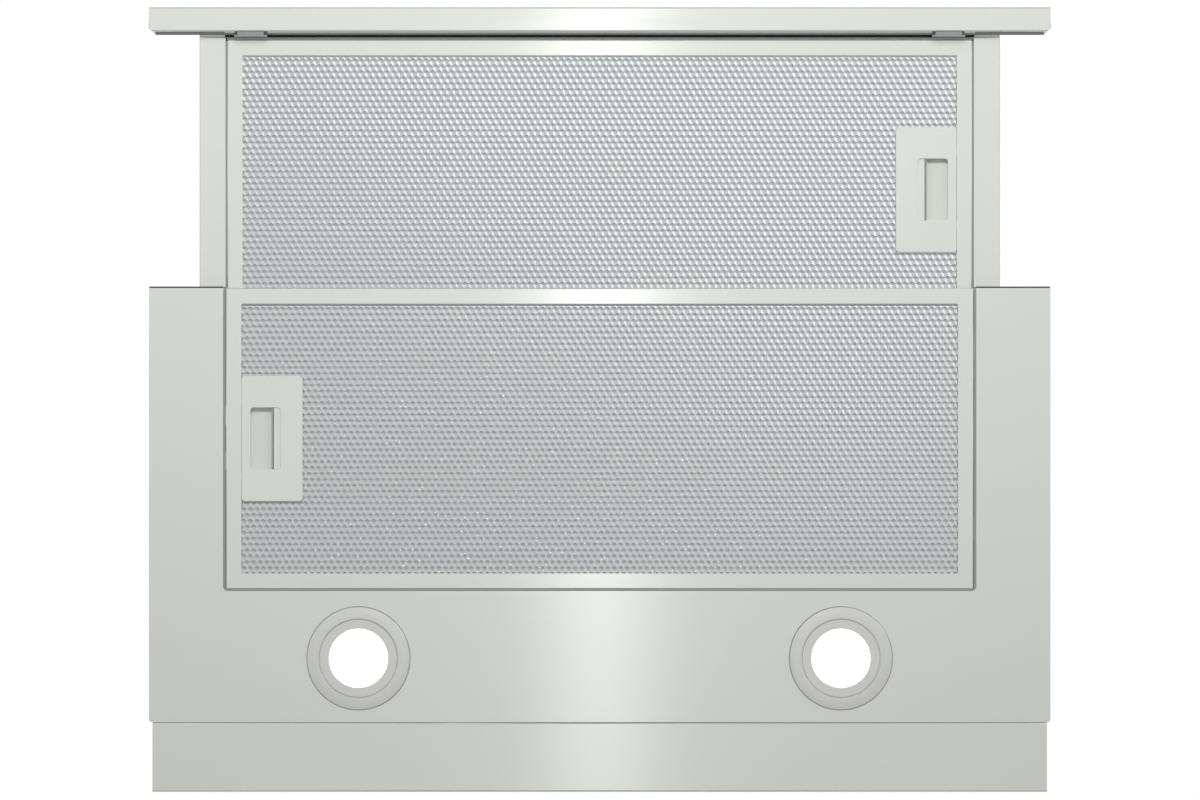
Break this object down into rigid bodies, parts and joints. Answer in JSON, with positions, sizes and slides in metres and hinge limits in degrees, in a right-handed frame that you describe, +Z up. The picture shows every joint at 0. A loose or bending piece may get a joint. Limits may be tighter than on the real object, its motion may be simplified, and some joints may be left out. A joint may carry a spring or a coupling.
{
  "type": "telescopic range hood",
  "caption": "Built-in pull-out range hood: sliding tray with grip bar, mesh grease filters with latches, round lamps, blower, duct collar with flaps and slide switches.",
  "frame": {"origin": "centre of the four cabinet screw holes, on the plane of the cabinet underside", "axes": "+Z up through the cabinet, -Y towards the cook at the front, +X to the right seen from above with the front nearest"},
  "size_m": [0.598, 0.5208, 0.2156],
  "materials": {
    "stainless": "brushed, grain along the width",
    "galvanised": "plain zinc-plated sheet",
    "zinc": "bright zinc",
    "slide_steel": "plain steel",
    "filter_aluminium": "satin rolled sheet",
    "filter_mesh": "expanded sheet",
    "latch_grey": "satin",
    "lamp_ring": "satin grey",
    "lamp_lens": "opal diffuser",
    "lamp_body": "die cast",
    "light_board": "white solder mask",
    "blower_plastic": "moulded",
    "wheel_plastic": "moulded",
    "motor_steel": "laminated stack, varnished",
    "rubber": "moulded",
    "black_plastic": "fine moulded grain",
    "knob_plastic": "moulded, ribbed",
    "box_plastic": "moulded",
    "capacitor_can": "drawn can"
  },
  "bodies": {
    "housing": {"blower_left_shell": "blower_plastic", "blower_right_shell": "blower_plastic", "bottom_panel": "stainless", "cable_gland": "black_plastic", "capacitor": "capacitor_can", "control_box": "box_plastic", "control_box_lid": "box_plastic", "duct_spigot": "black_plastic", "flap_rod": "slide_steel", "housing_screws": "zinc", "lamp_boards": "light_board", "lamp_clips": "slide_steel", "ledge_frame": "galvanised", "left_cheek": "black_plastic", "left_lamp_bezel": "lamp_ring", "left_lamp_housing": "lamp_body", "left_lamp_lens": "lamp_lens", "left_outer_slide": "galvanised", "motor_bracket": "galvanised", "motor_end_bells": "lamp_body", "motor_grommets": "rubber", "motor_stator": "motor_steel", "rear_filler_strip": "stainless", "right_lamp_bezel": "lamp_ring", "right_lamp_housing": "lamp_body", "right_lamp_lens": "lamp_lens", "right_outer_slide": "galvanised", "switch_cheek": "black_plastic", "top_cover": "galvanised", "tray_bumpers": "rubber", "upper_housing": "galvanised"},
    "tray": {"left_tray_rail": "stainless", "right_tray_rail": "stainless", "left_inner_slide": "galvanised", "right_inner_slide": "galvanised", "tray_front_wall": "galvanised", "tray_top_panel": "galvanised", "fascia": "stainless", "fascia_end_caps": "stainless", "fascia_clips": "zinc", "front_filter_frame": "filter_aluminium", "front_filter_mesh": "filter_mesh", "front_filter_layers": "filter_mesh", "front_latch_plate": "latch_grey", "front_latch_spring": "slide_steel"},
    "left_cage": {"left_ball_cage": "slide_steel"},
    "right_cage": {"right_ball_cage": "slide_steel"},
    "front_latch": {"front_latch_slider": "latch_grey"},
    "rear_filter": {"rear_filter_frame": "filter_aluminium", "rear_filter_mesh": "filter_mesh", "rear_filter_layers": "filter_mesh", "rear_latch_plate": "latch_grey", "rear_latch_spring": "slide_steel"},
    "rear_latch": {"rear_latch_slider": "latch_grey"},
    "blower_wheel": {"impeller": "wheel_plastic", "motor_shaft": "slide_steel"},
    "front_flap": {"front_flap": "black_plastic"},
    "rear_flap": {"rear_flap": "black_plastic"},
    "speed_slider": {"speed_slider": "knob_plastic"},
    "light_slider": {"light_slider": "knob_plastic"}
  },
  "joints": [
    {"name": "tray_slide", "type": "slide", "parent": "housing", "child": "tray", "axis": [0, 1, 0], "range_m": [0, 0.166]},
    {"name": "left_cage_slide", "type": "slide", "parent": "housing", "child": "left_cage", "axis": [0, 1, 0], "range_m": [0, 0.083]},
    {"name": "right_cage_slide", "type": "slide", "parent": "housing", "child": "right_cage", "axis": [0, 1, 0], "range_m": [0, 0.083]},
    {"name": "front_latch_slide", "type": "slide", "parent": "tray", "child": "front_latch", "axis": [-1, 0, 0], "range_m": [0, 0.005], "stiffness_N_per_m": 800, "springref_m": -0.003, "deforming": ["front_latch_spring"]},
    {"name": "rear_filter_hinge", "type": "hinge", "parent": "housing", "child": "rear_filter", "pos_m": [0.2486, -0.04415, -0.0407], "axis": [0, -1, 0], "range_deg": [0, 70]},
    {"name": "rear_latch_slide", "type": "slide", "parent": "rear_filter", "child": "rear_latch", "axis": [1, 0, 0], "range_m": [0, 0.005], "stiffness_N_per_m": 800, "springref_m": -0.003, "deforming": ["rear_latch_spring"]},
    {"name": "wheel_spin", "type": "hinge", "parent": "housing", "child": "blower_wheel", "pos_m": [0, -0.018, 0.072], "axis": [1, 0, 0], "continuous": true},
    {"name": "front_flap_hinge", "type": "hinge", "parent": "housing", "child": "front_flap", "pos_m": [0, 0.03, 0.149], "axis": [-1, 0, 0], "range_deg": [0, 80]},
    {"name": "rear_flap_hinge", "type": "hinge", "parent": "housing", "child": "rear_flap", "pos_m": [0, 0.03, 0.149], "axis": [1, 0, 0], "range_deg": [0, 80]},
    {"name": "speed_slide", "type": "slide", "parent": "housing", "child": "speed_slider", "axis": [0, 0, 1], "range_m": [0, 0.012]},
    {"name": "light_slide", "type": "slide", "parent": "housing", "child": "light_slider", "axis": [0, 0, 1], "range_m": [0, 0.006]}
  ],
  "couplings": [
    {"joint": "left_cage_slide", "follows": "tray_slide", "ratio": 0.5},
    {"joint": "right_cage_slide", "follows": "tray_slide", "ratio": 0.5}
  ]
}
